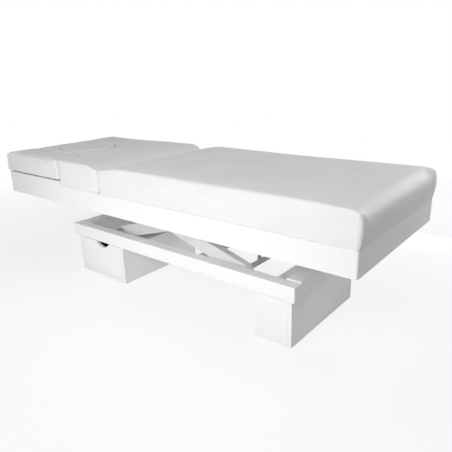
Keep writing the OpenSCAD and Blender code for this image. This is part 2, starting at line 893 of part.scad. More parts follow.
module back_cushion() {
    x0 = -bed_l / 2;
    x1 = joint_x - soft_gap;
    xa = armrest_x1 + soft_gap;
    y1 = bed_w / 2;
    y0 = armrest_y0 - soft_gap;
    color("white") difference() {
        cushion_form(
            outline([[x0, -y0, neck_r], [xa, -y0, neck_r], [xa, -y1, shoulder_r],
                [x1, -y1, joint_r], [x1, y1, joint_r], [xa, y1, shoulder_r],
                [xa, y0, neck_r], [x0, y0, neck_r]]),
            [(xa + x1) / 2 - back_mid_off, 0], back_z, bed_top - back_z, joint_x);
        block([x0 - over, -bed_w, back_z - over], [board_x1, bed_w, board_top]);
        translate([plug_x, 0, back_z])
            cylinder(r = plug_r + soft_gap, h = bed_top - back_z + over, $fn = 96);
    }
}

// The prop turns in the back frame and its foot rod steps along the ratchet rails
module prop() {
    color("gray") {
        bar_y(prop_pivot_x, hinge_z, prop_r, -bar_y1, bar_y1);
        bar_y(prop_foot_x, hinge_z, prop_r, -ratchet_y - ratchet_w, ratchet_y + ratchet_w);
        both_sides() block([prop_foot_x, leg_y, hinge_z - prop_r],
            [prop_pivot_x, leg_y + leg_w, hinge_z + prop_r]);
    }
}

base_corner_r = 8;
peg_in = 70;
peg_foot_in = 110;
peg_x = [-bed_l / 2 + peg_in, armrest_x1 - peg_foot_in];
peg_y = bed_w / 2 - armrest_w / 2;

module armrest(s) {
    x0 = -bed_l / 2;
    y0 = armrest_y0;
    y1 = bed_w / 2;
    color("white") on_side(s) difference() {
        cushion_form(
            outline([[x0, y0, pad_head_r], [armrest_x1, y0, armrest_r],
                [armrest_x1, y1, pad_r], [x0, y1, pad_r]]),
            [(x0 + armrest_x1) / 2, (y0 + y1) / 2], armrest_z, bed_top - armrest_z, 0);
        translate([0, 0, armrest_z - over]) linear_extrude(armrest_board_t + over)
            armrest_board_shape(0);
    }
}

module armrest_board_shape(fit) {
    in = cover_in + fit;
    translate([-bed_l / 2 + in, armrest_y0 + in])
        round_rect(armrest_l - 2 * in, armrest_w - 2 * in, base_corner_r);
}

module armrest_base(s) {
    color("dimgray") on_side(s) {
        translate([0, 0, armrest_z]) linear_extrude(armrest_board_t) armrest_board_shape(0);
        for (x = peg_x) translate([x, peg_y, board_top + seat_gap]) {
            cylinder(r = spacer_r, h = armrest_gap, $fn = 48);
            translate([0, 0, -back_board_t + seat_gap])
                cylinder(r = peg_r, h = back_board_t, $fn = 48);
        }
    }
}

plug_board_t = 9;
plug_boss_gap = 2;

module face_plug() {
    z = board_top + seat_gap;
    color("white") {
        cushion_form(disc_outline(plug_x, 0, plug_r, plug_points), [plug_x, 0], z,
            bed_top - z, joint_x);
        translate([plug_x, 0, z - plug_board_t])
            cylinder(r = face_hole_r - plug_boss_gap, h = plug_board_t + over, $fn = 96);
    }
}

base_rail(near);  // base_rail_near
base_rail(far);  // base_rail_far
base_board_head();
base_board_foot();
cabinet_side(cabinet_x0);  // cabinet_side_head
cabinet_side(cabinet_x1 - panel_t);  // cabinet_side_foot
cabinet_top();
cabinet_floor();
cabinet_back();
drawer_runners();
pedestal_panel(pedestal_x1 - panel_t);  // pedestal_panel_foot
pedestal_panel(pedestal_x0);  // pedestal_panel_head
pedestal_side_panels();
pedestal_top();
floor_glides();
lower_track(near);  // lower_track_near
lower_track(far);  // lower_track_far
shaft_bearings();
actuator_beam();
rear_pin();
control_box();
arm_a(near);  // arm_a_near
arm_a(far);  // arm_a_far
lift_shaft();
lever_pin();
upper_axle();
arm_b(near);  // arm_b_near
arm_b(far);  // arm_b_far
lower_axle();
arm_pins();
roller(pivot_z, near);  // roller_lower_near
roller(pivot_z, far);  // roller_lower_far
roller(upper_z, near);  // roller_upper_near
roller(upper_z, far);  // roller_upper_far
actuator_body();
actuator_rod();
upper_track(near);  // upper_track_near
upper_track(far);  // upper_track_far
upper_bearings();
cross_members();
skirt_side(near);  // skirt_near
skirt_side(far);  // skirt_far
skirt_end(-skirt_x);  // skirt_head
skirt_end(skirt_x - skirt_t);  // skirt_foot
deck();
hinge_blocks();
ratchet_rails();
body_cushion();
back_frame();
back_board();
back_cushion();
prop();
armrest(near);  // armrest_near
armrest(far);  // armrest_far
armrest_base(near);  // armrest_base_near
armrest_base(far);  // armrest_base_far
face_plug();
drawer_front();
drawer_box();
drawer_slides();
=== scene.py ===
"""Treatment bed on a scissor lift, with a drawer cabinet and a pedestal: cushions, finishes, studio."""

import json
import math

import bpy
import numpy as np
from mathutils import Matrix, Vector


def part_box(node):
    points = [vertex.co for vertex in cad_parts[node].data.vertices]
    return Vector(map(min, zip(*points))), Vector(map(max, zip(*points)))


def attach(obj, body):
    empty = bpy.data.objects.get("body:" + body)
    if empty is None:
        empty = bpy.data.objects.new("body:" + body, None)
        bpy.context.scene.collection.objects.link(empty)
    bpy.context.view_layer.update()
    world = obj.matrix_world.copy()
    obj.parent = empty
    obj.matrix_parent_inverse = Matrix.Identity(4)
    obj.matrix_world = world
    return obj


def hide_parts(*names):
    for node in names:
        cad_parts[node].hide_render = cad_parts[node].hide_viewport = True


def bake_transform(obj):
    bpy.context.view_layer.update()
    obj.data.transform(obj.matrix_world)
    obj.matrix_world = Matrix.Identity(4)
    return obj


bl_info = {
    "name": "Treatment bed",
    "version": (1, 0, 0),
    "blender": (4, 5, 0),
    "location": "View3D > Sidebar > Treatment bed",
    "description": "Cushions, board and steel finishes and the studio of a treatment bed",
    "category": "Object",
}

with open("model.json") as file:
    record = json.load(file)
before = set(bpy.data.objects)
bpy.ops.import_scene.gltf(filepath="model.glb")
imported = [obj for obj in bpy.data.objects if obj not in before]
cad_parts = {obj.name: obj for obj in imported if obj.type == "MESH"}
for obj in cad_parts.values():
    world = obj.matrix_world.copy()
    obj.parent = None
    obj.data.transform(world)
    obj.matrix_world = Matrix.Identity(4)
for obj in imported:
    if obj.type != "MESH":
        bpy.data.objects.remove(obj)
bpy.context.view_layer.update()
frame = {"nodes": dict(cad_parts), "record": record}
SLOT_OF = {row["node"]: row["material_slot"] for row in frame["record"]["subparts"]}
BODY_LO, BODY_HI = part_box("body_cushion")
BACK_LO, BACK_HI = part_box("back_cushion")
REST_LO, REST_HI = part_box("armrest_near")
PLUG_LO, PLUG_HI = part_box("face_plug")
BOARD_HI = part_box("back_board")[1]

# Two places less than this apart, in metres, are the same place
SAME = 1e-4
# Distances below this, in metres, aren't divided by, and one below the other is no reach at all
TINY, NO_REACH = 1e-9, 1e-6


def length(name, text, default, low=0.0, high=5.0):
    return bpy.props.FloatProperty(
        name=name, description=text, default=default, min=low, max=high, unit="LENGTH", subtype="DISTANCE"
    )


def power(name, text, default):
    return bpy.props.FloatProperty(
        name=name, description=text, default=default, min=0.0, max=500.0, unit="POWER"
    )


def colour(name, text, default):
    return bpy.props.FloatVectorProperty(
        name=name, description=text, default=default, size=3, min=0.0, max=1.0, subtype="COLOR"
    )


class CushionSizes(bpy.types.PropertyGroup):
    """Sizes of the padding and its cover"""

    voxel: length(
        "Cloth spacing", "Distance between the points of the filled cover", 0.007, 0.003, 0.02
    )
    small_voxel: length("Fine cloth spacing", "The same for the smaller cushions", 0.005, 0.003, 0.02)
    pressure: bpy.props.FloatProperty(
        name="Filling pressure", description="How hard the filling presses on the cover", default=4.0,
        min=0.0, max=20.0,
    )
    rise: length("Rise", "How far the filling may push the cover out", 0.010, 0.0, 0.04)
    crown: length(
        "Crown", "How far the middle of a cushion's top stands above its edges", 0.003, 0.001, 0.02
    )
    shoulder: length("Shoulder", "Radius of a cushion's top edges", 0.011, 0.004, 0.05)
    foot_roll: length("Foot roll", "Length of the large roll at the foot end", 0.060, 0.02, 0.1)
    foot_drop: length(
        "Foot roll depth", "How far the foot end's edge lies below the top", 0.050, 0.0, 0.06
    )
    corner_lift: bpy.props.FloatProperty(
        name="Corner lift", description="Share of the foot roll that the foot corners don't take part in",
        default=0.75, min=0.0, max=1.0, subtype="FACTOR",
    )
    foot_corner: length(
        "Foot corners", "Radius of the body cushion's standing foot corners", 0.012, 0.005, 0.04
    )
    rest_corner: length(
        "Armrest corners", "Radius of an armrest's inner corner at the foot", 0.082, 0.02, 0.09
    )
    joint_corner: length(
        "Joint corners", "Radius of both cushions' standing corners at the joint", 0.028, 0.01, 0.04
    )
    neck_corner: length(
        "Neck corners", "Radius of the inner corners beside the back cushion's neck", 0.012, 0.005, 0.05
    )
    rest_crown: length(
        "Armrest crown", "How far the middle of an armrest stands above its edges", 0.005, 0.001, 0.02
    )
    rim: length(
        "Fine shoulder", "Radius of the top edges of the armrests and the face plug", 0.007, 0.003, 0.02
    )
    corner: length("Other corners", "Radius of the other standing corners", 0.012, 0.005, 0.04)
    hem: length("Lower edge", "Radius of a cushion's bottom edges", 0.003, 0.002, 0.02)
    fall: length("Joint roll", "How far the cushions fall away towards the joint", 0.021, 0.0, 0.03)
    body_fall: length(
        "Body roll reach", "Length over which the body cushion falls away", 0.135, 0.02, 0.2
    )
    back_fall: length(
        "Back roll reach", "Length over which the back cushion falls away", 0.062, 0.02, 0.15
    )
    head_roll: length("Head roll", "Length of the roll at the head end", 0.070, 0.02, 0.15)
    neck_drop: length(
        "Neck roll depth", "How far the neck's head edge lies below its top", 0.024, 0.0, 0.05
    )
    rest_drop: length(
        "Armrest roll depth", "How far an armrest's head edge lies below its top", 0.012, 0.0, 0.05
    )
    bend: length("Bend", "Length of the back cushion that bends when the back rises", 0.22, 0.1, 0.29)


class FinishColours(bpy.types.PropertyGroup):
    """Colours of the bed's finishes"""

    vinyl: colour("Vinyl", "Cover of the cushions", (0.82, 0.82, 0.815))
    lacquer: colour("Lacquer", "Lacquer on the boards", (0.87, 0.87, 0.87))
    paint: colour("Steel paint", "Powder coat on the lift's steel", (0.84, 0.845, 0.85))
    zinc: colour("Zinc", "Zinc plating", (0.62, 0.64, 0.66))
    dark: colour("Grey steel", "Grey paint on the lower cross tube", (0.48, 0.485, 0.49))
    motor: colour("Drive", "Housing of the actuator and its control box", (0.16, 0.165, 0.17))
    nylon: colour("Nylon", "Rollers", (0.72, 0.71, 0.68))
    glide: colour("Glides", "Plastic glides under the panels", (0.10, 0.10, 0.10))
    plywood: colour("Deck", "White-faced board under the body cushion", (0.80, 0.80, 0.79))
    liner: colour("Drawer liner", "Inside of the drawer", (0.78, 0.77, 0.73))


class StudioSettings(bpy.types.PropertyGroup):
    """Camera, floor and lights"""

    camera_at: bpy.props.FloatVectorProperty(
        name="Camera place", description="Where the camera stands", default=(1.4743, -1.5180, 0.9706),
        size=3, unit="LENGTH", subtype="TRANSLATION",
    )
    camera_turn: bpy.props.FloatVectorProperty(
        name="Camera turn", description="How the camera is turned", default=(1.247931, 0.029167, 0.679922),
        size=3, unit="ROTATION", subtype="EULER",
    )
    lens: bpy.props.FloatProperty(
        name="Lens", description="Focal length for a sensor 36 mm wide", default=36.91, min=10.0, max=200.0,
        unit="CAMERA",
    )
    floor: colour("Floor", "Studio floor", (0.9, 0.9, 0.9))
    key: power("Key light", "Power of the soft box beside the camera", 46.0)
    top: power("Head half light", "Power of the high soft box over the head half", 5.6)
    foot: power("Foot end light", "Power of the high soft box over the foot end", 13.5)
    rim: power("Rim light", "Power of the low soft box behind the foot end", 10.0)
    gleam: power("Gleam light", "Power of the soft box that shows as a gleam on the foot roll", 19.0)
    behind: power("Far light", "Power of the long, low soft box on the far side", 7.0)
    head: power("Head light", "Power of the soft box beside the head end", 9.6)
    under: power("Floor light", "Power of the narrow light on the floor under the lift", 0.95)


# Finishes


def tree_of(name):
    made = bpy.data.materials.new(name)
    made.use_nodes = True
    made.node_tree.nodes.clear()
    return made, made.node_tree


def add(tree, kind, inputs=None, **settings):
    """A node of that kind: inputs maps a socket's name or number to a value or to another node's output."""
    node = tree.nodes.new("ShaderNode" + kind)
    for key, value in settings.items():
        setattr(node, key, value)
    for key, value in (inputs or {}).items():
        socket = node.inputs[key]
        if isinstance(value, bpy.types.NodeSocket):
            tree.links.new(value, socket)
        elif socket.type == "RGBA" and len(value) == 3:
            socket.default_value = (*value, 1.0)
        else:
            socket.default_value = value
    return node


def place(tree, stretch=(1.0, 1.0, 1.0)):
    """The point of the surface, in the bed's own frame."""
    where = add(tree, "TexCoord")
    return add(tree, "Mapping", {"Vector": where.outputs["Object"], "Scale": stretch}).outputs["Vector"]


def noise(tree, point, scale, detail, rough, warp=0.0):
    return add(
        tree, "TexNoise",
        {"Vector": point, "Scale": scale, "Detail": detail, "Roughness": rough, "Distortion": warp},
    ).outputs["Fac"]


def spread(tree, value, low, high, start=0.0, end=1.0):
    """The value's range from start to end, spread from low to high and held there beyond it."""
    return add(
        tree, "MapRange",
        {"Value": value, "From Min": start, "From Max": end, "To Min": low, "To Max": high},
    ).outputs["Result"]


def blend_colours(tree, share, first, second):
    mix = add(tree, "Mix", data_type="RGBA", clamp_factor=True)
    for name, value in (("Factor_Float", share), ("A_Color", first), ("B_Color", second)):
        socket = next(s for s in mix.inputs if s.identifier == name)
        if isinstance(value, bpy.types.NodeSocket):
            tree.links.new(value, socket)
        elif socket.type == "RGBA":
            socket.default_value = (*value, 1.0)
        else:
            socket.default_value = value
    return next(s for s in mix.outputs if s.identifier == "Result_Color")


def combine(tree, first, second, operation, **settings):
    """Two values worked into one by the named operation."""
    return add(tree, "Math", {0: first, 1: second}, operation=operation, **settings).outputs["Value"]


def bump(tree, height, depth, strength, under=None):
    inputs = {"Height": height, "Distance": depth, "Strength": strength}
    if under is not None:
        inputs["Normal"] = under
    return add(tree, "Bump", inputs).outputs["Normal"]


def shade(tree, **inputs):
    names = {
        "colour": "Base Color", "rough": "Roughness", "metal": "Metallic", "normal": "Normal",
        "level": "Specular IOR Level",
    }
    shader = add(tree, "BsdfPrincipled", {names[key]: value for key, value in inputs.items()})
    add(tree, "OutputMaterial", {"Surface": shader.outputs["BSDF"]})


def mottled(tree, value, rgb, share, start, end):
    """The colour, fading to that share of it where the value runs from start to end."""
    return blend_colours(tree, spread(tree, value, 0.0, 1.0, start=start, end=end), rgb, darker(rgb, share))


def darker(rgb, share):
    return tuple(c * share for c in rgb)


def vinyl_finish(colours):
    """Soft satin upholstery vinyl with a fine pebbled grain, and painted shade in the grooves of a piece's
    seams.
    """
    made, tree = tree_of("white_vinyl_cover")
    point = place(tree)
    pebbles = add(
        tree, "TexVoronoi", {"Vector": point, "Scale": 620.0, "Randomness": 0.9}, feature="SMOOTH_F1"
    ).outputs["Distance"]
    fine = noise(tree, point, scale=1500.0, detail=3.0, rough=0.6)
    slow = noise(tree, point, scale=9.0, detail=3.0, rough=0.55)
    seam = add(tree, "Attribute", attribute_name="seam").outputs["Fac"]
    tone = mottled(tree, slow, colours.vinyl, share=0.965, start=0.45, end=0.75)
    # Painted shade: the colour falls to three quarters where the seam attribute marks a seam's groove
    tone = blend_colours(tree, spread(tree, seam, 0.0, 0.35), tone, darker(colours.vinyl, 0.75))
    grain = bump(tree, pebbles, depth=0.00025, strength=0.35)
    grain = bump(tree, fine, depth=0.00008, strength=0.3, under=grain)
    grain = bump(tree, slow, depth=0.0012, strength=0.25, under=grain)
    shade(tree, colour=tone, rough=spread(tree, slow, 0.4, 0.54), normal=grain, level=0.16)
    return made


def lacquer_finish(colours):
    """Sprayed satin lacquer: a faint orange peel, eased edges and a little scuffing near the floor."""
    made, tree = tree_of("white_lacquer_board")
    point = place(tree)
    peel = noise(tree, point, scale=420.0, detail=2.0, rough=0.5)
    slow = noise(tree, point, scale=5.0, detail=4.0, rough=0.6)
    scuffs = noise(tree, place(tree, (1.0, 1.0, 6.0)), scale=40.0, detail=6.0, rough=0.7)
    height = add(tree, "SeparateXYZ", {"Vector": point}).outputs["Z"]
    low = spread(tree, height, 1.0, 0.0, start=0.004, end=0.06)
    scuffed = spread(tree, scuffs, 0.0, 0.5, start=0.45, end=0.7)
    worn = combine(tree, low, scuffed, "MULTIPLY", use_clamp=True)
    tone = mottled(tree, slow, colours.lacquer, share=0.975, start=0.4, end=0.8)
    tone = blend_colours(tree, worn, tone, darker(colours.lacquer, 0.72))
    eased = add(tree, "Bevel", {"Radius": 0.0012}, samples=4).outputs["Normal"]
    skin = bump(tree, peel, depth=0.00006, strength=0.25, under=eased)
    shade(tree, colour=tone, rough=spread(tree, slow, 0.32, 0.44), normal=skin, level=0.16)
    return made


def plywood_finish(colours):
    """Pale birch plywood: long grain on the faces and plies on the edges."""
    made, tree = tree_of("birch_plywood")
    long = place(tree, (1.0, 14.0, 14.0))
    figure = noise(tree, long, scale=4.0, detail=6.0, rough=0.65, warp=0.6)
    fibre = noise(tree, long, scale=60.0, detail=3.0, rough=0.7)
    up = add(tree, "SeparateXYZ", {"Vector": add(tree, "NewGeometry").outputs["Normal"]}).outputs["Z"]
    face = add(tree, "Math", {0: up}, operation="ABSOLUTE").outputs["Value"]
    plies = add(
        tree, "TexWave", {"Vector": place(tree), "Scale": 105.0, "Distortion": 0.4, "Detail": 1.0},
        bands_direction="Z",
    ).outputs["Fac"]
    pale = mottled(tree, figure, colours.plywood, share=0.7, start=0.35, end=0.7)
    pale = blend_colours(tree, spread(tree, fibre, 0.0, 0.35), pale, darker(colours.plywood, 0.5))
    edge = blend_colours(tree, plies, colours.plywood, darker(colours.plywood, 0.45))
    tone = blend_colours(tree, face, edge, pale)
    skin = bump(tree, fibre, depth=0.0002, strength=0.4)
    shade(tree, colour=tone, rough=spread(tree, fibre, 0.5, 0.7), normal=skin)
    return made


def liner_finish(colours):
    """Melamine board with a fine pressed texture."""
    made, tree = tree_of("melamine_liner")
    point = place(tree)
    pressed = noise(tree, place(tree, (1.0, 1.0, 3.0)), scale=700.0, detail=2.0, rough=0.6)
    slow = noise(tree, point, scale=12.0, detail=3.0, rough=0.6)
    tone = mottled(tree, slow, colours.liner, share=0.95, start=0.4, end=0.8)
    skin = bump(tree, pressed, depth=0.0001, strength=0.3)
    shade(tree, colour=tone, rough=spread(tree, slow, 0.42, 0.55), normal=skin)
    return made


def paint_finish(colours):
    """Powder coat on steel: a close orange peel, eased edges and faint grey patches."""
    made, tree = tree_of("white_powder_coat")
    point = place(tree)
    peel = noise(tree, point, scale=700.0, detail=2.0, rough=0.5)
    slow = noise(tree, point, scale=14.0, detail=4.0, rough=0.6)
    eased = add(tree, "Bevel", {"Radius": 0.001}, samples=4).outputs["Normal"]
    tone = mottled(tree, slow, colours.paint, share=0.93, start=0.45, end=0.8)
    skin = bump(tree, peel, depth=0.0001, strength=0.35, under=eased)
    shade(tree, colour=tone, rough=spread(tree, slow, 0.34, 0.5), normal=skin, level=0.35)
    return made


def zinc_finish(colours):
    """Bright zinc plating with a mottled spangle and drawn lines."""
    made, tree = tree_of("zinc_plated_steel")
    point = place(tree)
    spangle = add(tree, "TexVoronoi", {"Vector": point, "Scale": 260.0}, feature="F1").outputs["Color"]
    drawn = noise(tree, place(tree, (4.0, 60.0, 60.0)), scale=14.0, detail=4.0, rough=0.65)
    slow = noise(tree, point, scale=20.0, detail=3.0, rough=0.6)
    tone = blend_colours(tree, spread(tree, slow, 0.0, 0.7), colours.zinc, darker(colours.zinc, 0.82))
    tone = blend_colours(tree, 0.06, tone, spangle)
    skin = bump(tree, drawn, depth=0.00006, strength=0.3)
    shade(tree, colour=tone, metal=1.0, rough=spread(tree, drawn, 0.26, 0.46), normal=skin)
    return made


def dark_finish(colours):
    """Grey painted steel tube with darker rub marks."""
    made, tree = tree_of("grey_painted_steel")
    point = place(tree)
    drawn = noise(tree, place(tree, (60.0, 4.0, 60.0)), scale=10.0, detail=4.0, rough=0.65)
    slow = noise(tree, point, scale=24.0, detail=5.0, rough=0.7)
    rubbed = spread(tree, slow, 0.0, 1.0, start=0.55, end=0.8)
    tone = blend_colours(tree, rubbed, colours.dark, darker(colours.zinc, 0.45))
    skin = bump(tree, drawn, depth=0.00008, strength=0.4)
    shade(tree, colour=tone, metal=0.1, rough=spread(tree, drawn, 0.32, 0.52), normal=skin)
    return made


def plastic_finish(name, rgb, rough, scale, depth):
    """Moulded plastic with a spark-eroded texture."""
    made, tree = tree_of(name)
    point = place(tree)
    grain = noise(tree, point, scale=scale, detail=2.0, rough=0.55)
    slow = noise(tree, point, scale=16.0, detail=3.0, rough=0.6)
    tone = mottled(tree, slow, rgb, share=0.86, start=0.4, end=0.8)
    skin = bump(tree, grain, depth=depth, strength=0.5)
    shade(tree, colour=tone, rough=spread(tree, slow, rough - 0.06, rough + 0.08), normal=skin)
    return made


# Padding


def clear_selection():
    if bpy.context.mode != "OBJECT":
        bpy.ops.object.mode_set(mode="OBJECT")
    bpy.ops.object.select_all(action="DESELECT")


def only(piece):
    clear_selection()
    piece.select_set(True)
    bpy.context.view_layer.objects.active = piece


def points_of(piece):
    co = np.empty(len(piece.data.vertices) * 3, np.float32)
    piece.data.vertices.foreach_get("co", co)
    return co.reshape(-1, 3).astype(float)


def set_points(piece, points):
    piece.data.vertices.foreach_set("co", np.asarray(points, np.float32).ravel())
    piece.data.update()


def settle(piece):
    """Puts the piece's place into its mesh."""
    only(piece)
    bpy.ops.object.transform_apply(location=True, rotation=True, scale=True)


def pick(piece, kind, rule):
    """In edit mode, selects the vertices, edges or faces whose points all pass the rule."""
    bpy.ops.object.mode_set(mode="OBJECT")
    mesh = piece.data
    for group in (mesh.vertices, mesh.edges, mesh.polygons):
        group.foreach_set("select", [False] * len(group))
    chosen = {"VERT": mesh.vertices, "EDGE": mesh.edges, "FACE": mesh.polygons}[kind]
    for item in chosen:
        ids = [item.index] if kind == "VERT" else item.vertices
        item.select = all(rule(mesh.vertices[i].co) for i in ids)
    bpy.ops.object.mode_set(mode="EDIT")
    bpy.ops.mesh.select_mode(type=kind)


def near(a, b):
    return abs(a - b) < SAME


def standing_edge(x, y):
    return lambda co: near(co.x, x) and near(abs(co.y), y)


def ease(piece, rule, radius, segments):
    """Rounds the edges that the rule picks."""
    pick(piece, "EDGE", rule)
    bpy.ops.mesh.bevel(
        offset=radius, offset_type="OFFSET", segments=segments, profile=0.5, clamp_overlap=True
    )


def block(name, low, high):
    """A cube at its size and place, to be shaped further."""
    clear_selection()
    low, high = Vector(low), Vector(high)
    bpy.ops.mesh.primitive_cube_add(size=1.0, location=(low + high) / 2, scale=high - low)
    piece = bpy.context.object
    piece.name = name
    piece.data.name = name
    settle(piece)
    return piece


def carve(piece, cutter):
    """Cuts the cutter out of the piece, and removes it."""
    only(piece)
    cut = piece.modifiers.new("Cut", "BOOLEAN")
    cut.operation, cut.solver, cut.object = "DIFFERENCE", "EXACT", cutter
    bpy.ops.object.modifier_apply(modifier=cut.name)
    bpy.data.objects.remove(cutter)


def recloth(piece, spacing):
    """Gives the piece an even cover whose points stand about the spacing apart."""
    only(piece)
    piece.data.remesh_voxel_size = spacing
    piece.data.remesh_voxel_adaptivity = 0.0
    bpy.ops.object.voxel_remesh()


# Stiffness of the cover, and the frames that the filling takes to press it out
COVER_TENSION, COVER_BENDING, FILLING_FRAMES = 15.0, 6.0, 20


def vertex_weights(piece, name, shares):
    """A vertex group that holds each point's share where that is more than nothing."""
    group = piece.vertex_groups.new(name=name)
    for index in np.nonzero(shares > 0.0)[0]:
        group.add([int(index)], float(shares[index]), "REPLACE")
    return group.name


def swell(piece, held, settings):
    """Fills the piece: the cover is held where held says and pressed out elsewhere by its filling."""
    rest = points_of(piece)
    held_group = vertex_weights(piece, "held", held(rest))
    only(piece)
    cloth = piece.modifiers.new("Cover", "CLOTH")
    cloth.settings.use_pressure = True
    cloth.settings.uniform_pressure_force = settings.pressure
    cloth.settings.effector_weights.gravity = 0.0
    cloth.settings.vertex_group_mass = held_group
    cloth.settings.tension_stiffness = COVER_TENSION
    cloth.settings.bending_stiffness = COVER_BENDING
    cloth.settings.quality = 4
    cloth.collision_settings.use_collision = False
    scene = bpy.context.scene
    for number in range(FILLING_FRAMES):
        scene.frame_set(number + 1)
    bpy.ops.object.modifier_apply(modifier=cloth.name)
    scene.frame_set(1)
    moved = points_of(piece) - rest
    far = np.linalg.norm(moved, axis=1, keepdims=True)
    limit = settings.rise
    set_points(piece, rest + moved * (limit * np.tanh(far / limit) / np.maximum(far, TINY)))
    piece.vertex_groups.clear()


def smooth(piece, held, times):
    """Evens out the cover where it isn't held."""
    loose_group = vertex_weights(piece, "loose", 1.0 - held(points_of(piece)))
    only(piece)
    soften = piece.modifiers.new("Soften", "SMOOTH")
    soften.iterations, soften.factor, soften.vertex_group = times, 0.5, loose_group
    bpy.ops.object.modifier_apply(modifier=soften.name)
    piece.vertex_groups.clear()


def tame(piece, start_low, start_high, low, high):
    """Scales what stands out past the starting block, side by side, to end at the given box.

    The underside is only ever scaled down.
    """
    points = points_of(piece)
    for axis in range(3):
        for sign, start, end in ((1.0, start_high[axis], high[axis]), (-1.0, start_low[axis], low[axis])):
            past = np.maximum((points[:, axis] - start) * sign, 0.0)
            reach, room = past.max(), (end - start) * sign
            if reach > NO_REACH and (reach > room or sign > 0 or axis < 2):
                points[:, axis] += sign * past * (room / reach - 1.0)
    set_points(piece, points)


def lower(piece, drop, low_z, high_z):
    """Lowers the piece by drop, a function of its points: in full at high_z and not at all at low_z."""
    points = points_of(piece)
    points[:, 2] -= drop(points) * smooth_step((points[:, 2] - low_z) / (high_z - low_z))
    set_points(piece, points)


def roll_off(away, reach, depth):
    """Drop of a rounded edge at a distance from its end: depth at the end, and none past its reach."""
    t = np.clip(1.0 - away / reach, 0.0, 1.0)
    return depth * (1.0 - np.sqrt(np.maximum(1.0 - t * t, 0.0)))


# Share of the room between a starting block and its box that a belly takes; the filling has the rest
BELLY_SHARE = 0.85
# How far in from its side, in metres, a belly fades out
BELLY_FADE = 0.05


def belly(piece, start_low, start_high, low, high, sides):
    """Rounds the named sides outwards from the starting block towards the box, most at mid height."""
    points = points_of(piece)
    bulge = np.sin(math.pi * np.clip((points[:, 2] - low.z) / (high.z - low.z), 0.0, 1.0))
    for axis, sign in sides:
        start, end = (start_high[axis], high[axis]) if sign > 0 else (start_low[axis], low[axis])
        close = smooth_step(1.0 - (start - points[:, axis]) * sign / BELLY_FADE)
        points[:, axis] += (end - start) * BELLY_SHARE * bulge * close
    set_points(piece, points)


def square_up(piece, start_low, start_high, corner, share):
    """Brings rounded edges back out to the outline of the starting block.

    share is a function of the points and of how far each lies inside that outline.
    """
    points = points_of(piece)
    middle = ((start_low + start_high) / 2).to_2d()
    reach = ((start_high - start_low) / 2).to_2d() - Vector((corner, corner))
    away = points[:, :2] - middle
    past = np.abs(away) - reach
    outside = np.maximum(past, 0.0)
    far = np.hypot(outside[:, 0], outside[:, 1])
    gap = corner - far - np.minimum(past.max(axis=1), 0.0)
    round_the_corner = outside / np.maximum(far, TINY)[:, None]
    straight_out = past == past.max(axis=1, keepdims=True)
    out = np.where(far[:, None] > TINY, round_the_corner, straight_out) * np.sign(away)
    points[:, :2] += out * (np.clip(gap, 0.0, 1.0) * share(points, gap))[:, None]
    set_points(piece, points)


def slope_off(away, reach, depth, steepening=1.3):
    """Drop of an end that slopes down: depth at the end, and none past its reach."""
    return depth * np.clip(1.0 - away / reach, 0.0, 1.0) ** steepening


def divide(piece):
    """Splits each face of the cover in four, and rounds them."""
    only(piece)
    finer = piece.modifiers.new("Finer", "SUBSURF")
    finer.levels = finer.render_levels = 1
    bpy.ops.object.modifier_apply(modifier=finer.name)


def smooth_step(value):
    t = np.clip(value, 0.0, 1.0)
    return t * t * (3.0 - 2.0 * t)


# Reach of the finer mesh beside a seam
SEAM_REACH = 0.012
# Shares of a seam's width that its groove and the lips beside it take, and of its depth that the lips rise
GROOVE_SHARE, LIP_SHARE, LIP_RISE = 0.45, 0.7, 0.35


def sew(piece, seam, width, depth):
    """Draws a seam into the cover.

    seam is a function from points to their distance from it, in metres, or to 1 where it doesn't run.
    """
    for times in range(2):
        near_it = seam(points_of(piece)) < SEAM_REACH / (times + 1)
        mesh = piece.data
        loops = np.empty(len(mesh.loops), np.int32)
        mesh.loops.foreach_get("vertex_index", loops)
        starts = np.empty(len(mesh.polygons), np.int32)
        mesh.polygons.foreach_get("loop_start", starts)
        inside = np.minimum.reduceat(near_it[loops].astype(np.int8), starts).astype(bool)
        only(piece)
        for group in (mesh.vertices, mesh.edges, mesh.polygons):
            group.foreach_set("select", np.zeros(len(group), bool))
        mesh.polygons.foreach_set("select", inside)
        bpy.ops.object.mode_set(mode="EDIT")
        bpy.ops.mesh.select_mode(type="FACE")
        bpy.ops.mesh.subdivide(number_cuts=1, smoothness=0.0)
        bpy.ops.object.mode_set(mode="OBJECT")
    points = points_of(piece)
    gap = seam(points)
    normals = np.empty(len(points) * 3, np.float32)
    piece.data.vertex_normals.foreach_get("vector", normals)
    normals = normals.reshape(-1, 3)
    groove = np.exp(-((gap / (width * GROOVE_SHARE)) ** 2))
    lips = np.exp(-(((gap - width) / (width * LIP_SHARE)) ** 2))
    set_points(piece, points + normals * (lips * depth * LIP_RISE - groove * depth)[:, None])
    # The groove's depth is kept on the cover as the seam attribute, where the vinyl paints shade
    attribute = piece.data.attributes.new("seam", "FLOAT", "POINT")
    attribute.data.foreach_set("value", groove.astype(np.float32))


def dress(piece, finish, body, node):
    """Finishes a cushion: its cover, the body that it moves with, if one alone, and what it stands for."""
    piece.data.materials.clear()
    piece.data.materials.append(finish)
    only(piece)
    bpy.ops.object.shade_smooth()
    if body:
        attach(piece, body)
    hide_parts(*node)


